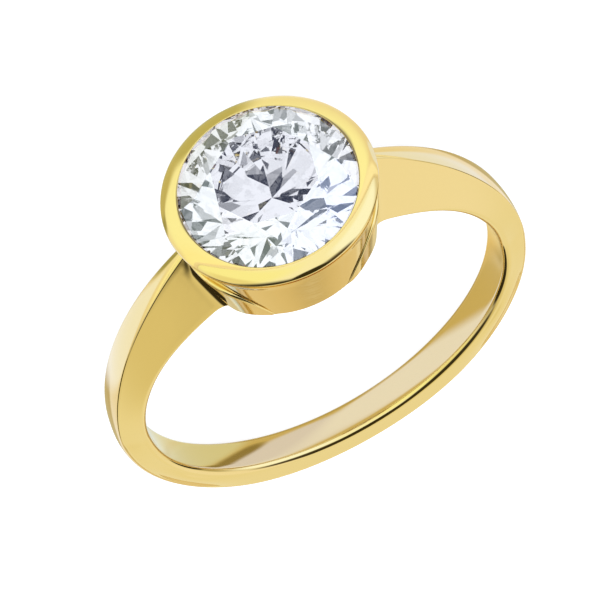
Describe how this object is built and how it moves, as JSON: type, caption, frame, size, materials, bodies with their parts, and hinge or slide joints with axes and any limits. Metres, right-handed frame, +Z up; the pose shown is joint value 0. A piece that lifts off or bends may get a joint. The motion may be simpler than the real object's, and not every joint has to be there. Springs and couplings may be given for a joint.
{
  "type": "bezel-set solitaire ring",
  "caption": "Solitaire finger ring with a round brilliant-cut stone held in a polished cone-shaped cup, on a slim band whose shoulders rise to the cup.",
  "frame": {"origin": "on the table, below the middle of the ring's box", "axes": "+Z up from the table, +Y from the far side of the band to the stone, +X across the shoulders; the ring lies on its side, leaning by 9.3 degrees on the rim of its cup"},
  "size_m": [0.02, 0.0238, 0.0088],
  "materials": {
    "gold": null,
    "zirconia": "clear, colourless, polished facets"
  },
  "bodies": {
    "root": {"shank_and_cup": "gold", "stone": "zirconia"}
  },
  "joints": []
}
